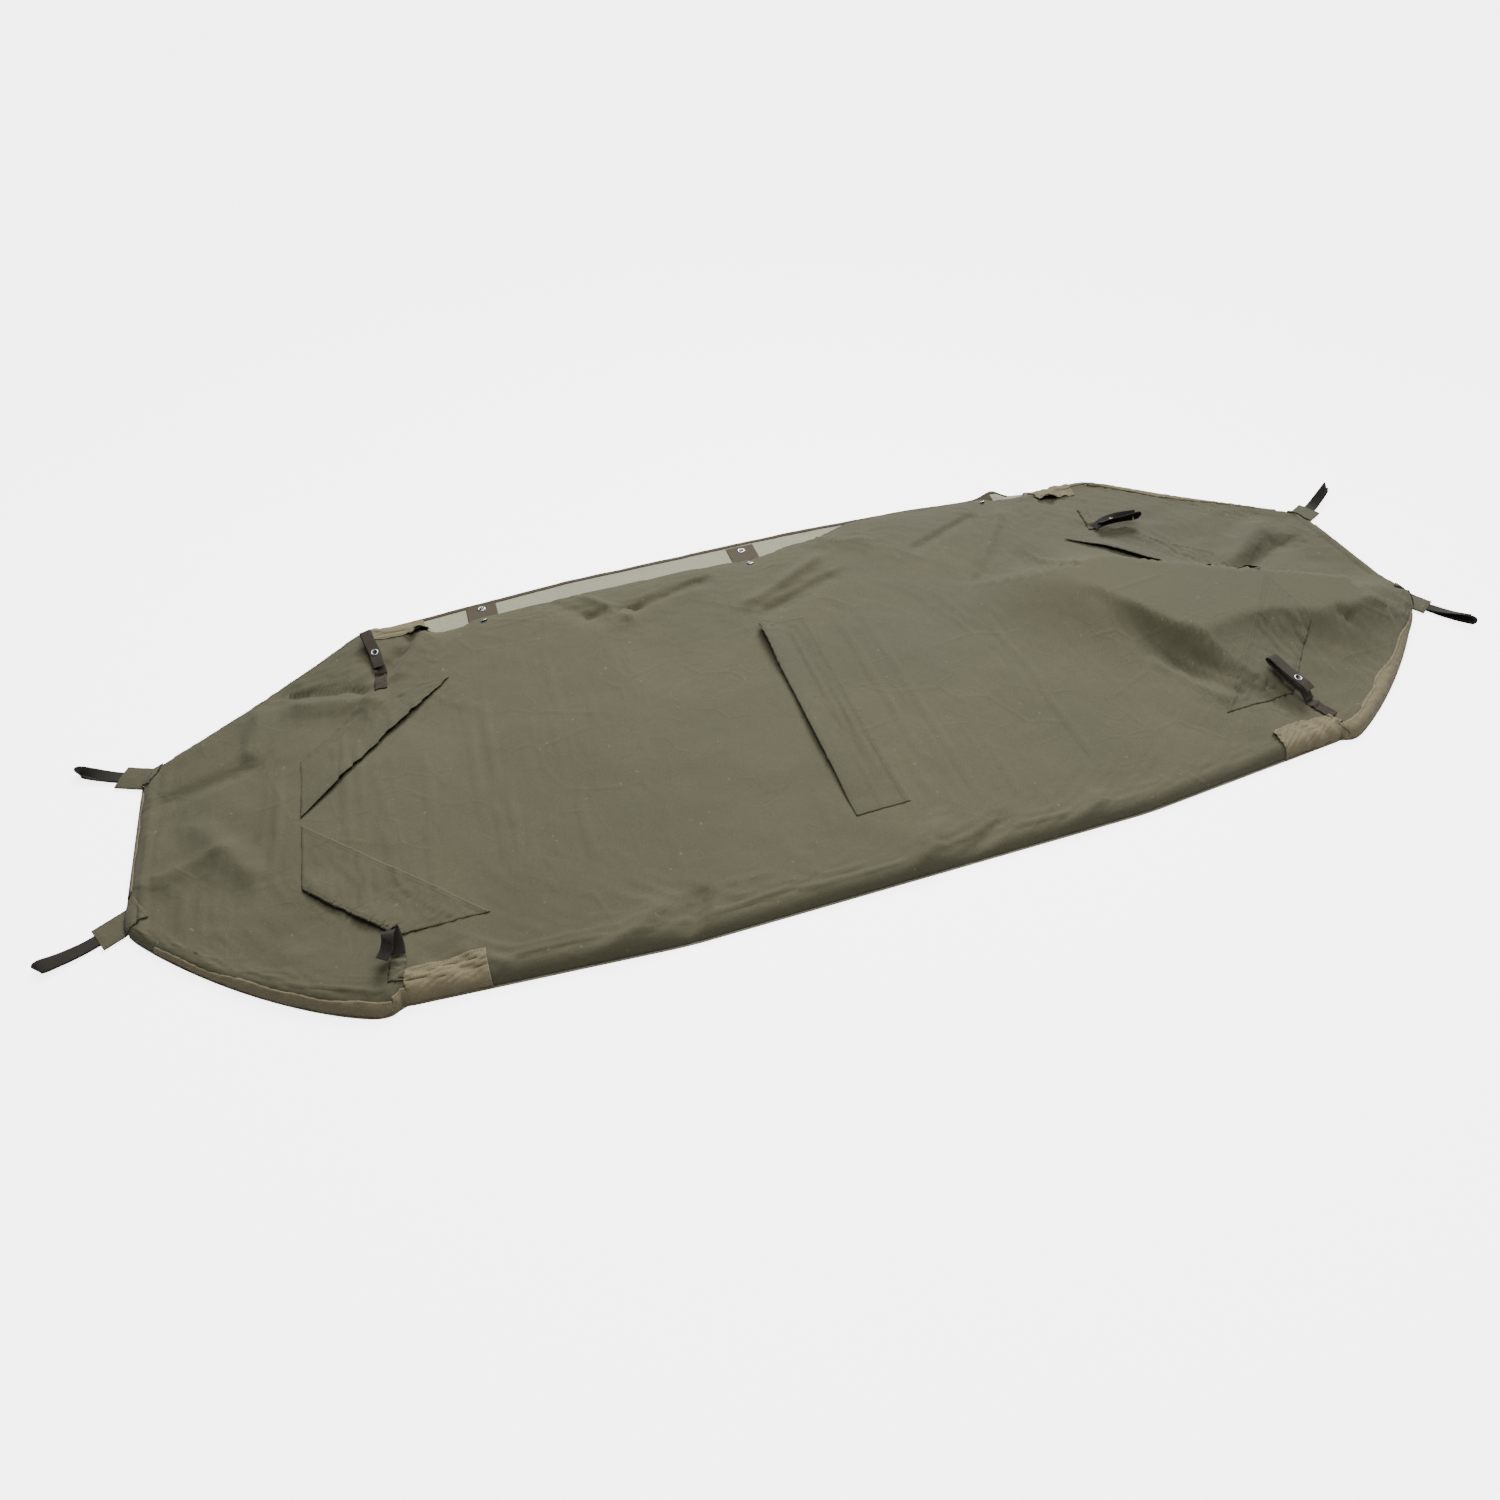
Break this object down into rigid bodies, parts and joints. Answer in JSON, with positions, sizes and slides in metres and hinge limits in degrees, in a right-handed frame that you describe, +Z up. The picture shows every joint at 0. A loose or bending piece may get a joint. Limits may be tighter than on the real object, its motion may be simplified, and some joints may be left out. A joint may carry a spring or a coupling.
{
  "type": "folding stretcher cover",
  "caption": "Flat two-layer fabric stretcher cover with tapered ends, an opening along one long edge, strip pockets, press-stud straps and webbing end loops.",
  "frame": {"origin": "on the ground under the middle of the cover as it lies flat", "axes": "+X along its length, +Y across it towards the open long edge, +Z up"},
  "size_m": [2.4095, 0.86, 0.0568],
  "materials": {
    "olive_cloth": "matt coated canvas",
    "lower_cloth": "matt coated canvas, pale inside",
    "tan_cloth": "matt canvas",
    "binding_cloth": "ribbed tape",
    "webbing": "woven webbing",
    "press_stud": "dull plated"
  },
  "bodies": {
    "middle": {"lower_sheet_middle": "lower_cloth", "upper_sheet_middle": "olive_cloth", "mouth_binding_middle": "binding_cloth", "stud_patch_1": "binding_cloth", "stud_patch_2": "binding_cloth", "stud_patch_3": "binding_cloth", "mouth_studs": "press_stud"},
    "mouth_border": {"mouth_flap": "olive_cloth", "mouth_flap_hem": "olive_cloth", "mouth_stud_caps": "press_stud"},
    "centre_pocket": {"centre_strip": "olive_cloth"},
    "left_end": {"lower_sheet_left": "lower_cloth", "upper_sheet_left": "olive_cloth", "hem_left_far": "tan_cloth", "hem_left_near": "tan_cloth", "hem_left_end": "tan_cloth", "mouth_binding_left": "binding_cloth", "corner_patch_far_left": "tan_cloth", "end_tab_far_left": "olive_cloth", "snap_foot_far_left": "webbing", "corner_patch_near_left": "tan_cloth", "end_tab_near_left": "olive_cloth", "snap_foot_near_left": "webbing"},
    "pocket_near_left": {"strip_near_left": "olive_cloth"},
    "pocket_far_left": {"strip_far_left": "olive_cloth"},
    "right_end": {"lower_sheet_right": "lower_cloth", "upper_sheet_right": "olive_cloth", "hem_right_far": "tan_cloth", "hem_right_near": "tan_cloth", "hem_right_end": "tan_cloth", "corner_patch_near_right": "tan_cloth", "end_tab_near_right": "olive_cloth", "snap_foot_near_right": "webbing", "corner_patch_far_right": "tan_cloth", "end_tab_far_right": "olive_cloth", "snap_foot_far_right": "webbing"},
    "pocket_near_right": {"strip_near_right": "olive_cloth"},
    "pocket_far_right": {"strip_far_right": "olive_cloth"},
    "snap_far_left": {"snap_loop_far_left": "webbing", "snap_stud_far_left": "press_stud"},
    "snap_leg_far_left": {"snap_leg_far_left": "webbing", "snap_socket_far_left": "press_stud"},
    "loop_far_left": {"end_loop_far_left": "webbing"},
    "snap_near_left": {"snap_loop_near_left": "webbing", "snap_stud_near_left": "press_stud"},
    "snap_leg_near_left": {"snap_leg_near_left": "webbing", "snap_socket_near_left": "press_stud"},
    "loop_near_left": {"end_loop_near_left": "webbing"},
    "snap_near_right": {"snap_loop_near_right": "webbing", "snap_stud_near_right": "press_stud"},
    "snap_leg_near_right": {"snap_leg_near_right": "webbing", "snap_socket_near_right": "press_stud"},
    "loop_near_right": {"end_loop_near_right": "webbing"},
    "snap_far_right": {"snap_loop_far_right": "webbing", "snap_stud_far_right": "press_stud"},
    "snap_leg_far_right": {"snap_leg_far_right": "webbing", "snap_socket_far_right": "press_stud"},
    "loop_far_right": {"end_loop_far_right": "webbing"}
  },
  "joints": [
    {"name": "fold_left", "type": "hinge", "parent": "middle", "child": "left_end", "pos_m": [-0.605, 0, 0.048], "axis": [0, 1, 0], "range_deg": [0, 178]},
    {"name": "fold_right", "type": "hinge", "parent": "middle", "child": "right_end", "pos_m": [0.572, 0, 0.048], "axis": [0, -1, 0], "range_deg": [0, 178]},
    {"name": "mouth_open", "type": "hinge", "parent": "middle", "child": "mouth_border", "pos_m": [0, 0.305, 0.02], "axis": [1, 0, 0], "range_deg": [0, 174]},
    {"name": "centre_pocket_gape", "type": "hinge", "parent": "middle", "child": "centre_pocket", "pos_m": [0.021, -0.07, 0.0203], "axis": [0, 1, 0], "range_deg": [0, 12]},
    {"name": "pocket_gape_near_left", "type": "hinge", "parent": "left_end", "child": "pocket_near_left", "pos_m": [-0.732, -0.176, 0.0203], "axis": [-0.7071, 0.7071, 0], "range_deg": [0, 6]},
    {"name": "pocket_gape_far_left", "type": "hinge", "parent": "left_end", "child": "pocket_far_left", "pos_m": [-0.795, 0.149, 0.0203], "axis": [-0.7071, -0.7071, 0], "range_deg": [0, 6]},
    {"name": "pocket_gape_near_right", "type": "hinge", "parent": "right_end", "child": "pocket_near_right", "pos_m": [0.711, -0.176, 0.0203], "axis": [-0.7071, -0.7071, 0], "range_deg": [0, 6]},
    {"name": "pocket_gape_far_right", "type": "hinge", "parent": "right_end", "child": "pocket_far_right", "pos_m": [0.774, 0.149, 0.0203], "axis": [-0.7071, 0.7071, 0], "range_deg": [0, 6]},
    {"name": "snap_swing_far_left", "type": "hinge", "parent": "left_end", "child": "snap_far_left", "pos_m": [-0.722, 0.284, 0.0216], "axis": [-0.9976, -0.0698, 0], "range_deg": [-100, 0]},
    {"name": "snap_open_far_left", "type": "hinge", "parent": "snap_far_left", "child": "snap_leg_far_left", "pos_m": [-0.7271, 0.35692, 0.0456], "axis": [0.9976, 0.0698, 0], "range_deg": [-150, 0]},
    {"name": "snap_swing_near_left", "type": "hinge", "parent": "left_end", "child": "snap_near_left", "pos_m": [-0.728, -0.32, 0.0216], "axis": [-0.9945, 0.1045, 0], "range_deg": [-100, 0]},
    {"name": "snap_open_near_left", "type": "hinge", "parent": "snap_near_left", "child": "snap_leg_near_left", "pos_m": [-0.72036, -0.2473, 0.0456], "axis": [0.9945, -0.1045, 0], "range_deg": [-150, 0]},
    {"name": "snap_swing_near_right", "type": "hinge", "parent": "right_end", "child": "snap_near_right", "pos_m": [0.726, -0.32, 0.0216], "axis": [-0.9703, -0.2419, 0], "range_deg": [-100, 0]},
    {"name": "snap_open_near_right", "type": "hinge", "parent": "snap_near_right", "child": "snap_leg_near_right", "pos_m": [0.70832, -0.24907, 0.0456], "axis": [0.9703, 0.2419, 0], "range_deg": [-150, 0]},
    {"name": "snap_swing_far_right", "type": "hinge", "parent": "right_end", "child": "snap_far_right", "pos_m": [0.664, 0.226, 0.0216], "axis": [-0.0349, 0.9994, 0], "range_deg": [-100, 0]},
    {"name": "snap_open_far_right", "type": "hinge", "parent": "snap_far_right", "child": "snap_leg_far_right", "pos_m": [0.73706, 0.22855, 0.0456], "axis": [0.0349, -0.9994, 0], "range_deg": [-150, 0]},
    {"name": "loop_swing_far_left", "type": "hinge", "parent": "left_end", "child": "loop_far_left", "pos_m": [-1.13328, 0.15782, 0.0076], "axis": [0.3907, 0.9205, 0], "range_deg": [0, 150]},
    {"name": "loop_swing_near_left", "type": "hinge", "parent": "left_end", "child": "loop_near_left", "pos_m": [-1.13176, -0.16101, 0.0076], "axis": [-0.4695, 0.8829, 0], "range_deg": [0, 150]},
    {"name": "loop_swing_near_right", "type": "hinge", "parent": "right_end", "child": "loop_near_right", "pos_m": [1.11625, -0.17707, 0.0076], "axis": [-0.866, -0.5, 0], "range_deg": [0, 150]},
    {"name": "loop_swing_far_right", "type": "hinge", "parent": "right_end", "child": "loop_far_right", "pos_m": [1.1324, 0.15975, 0.0076], "axis": [0.4384, -0.8988, 0], "range_deg": [0, 150]}
  ]
}
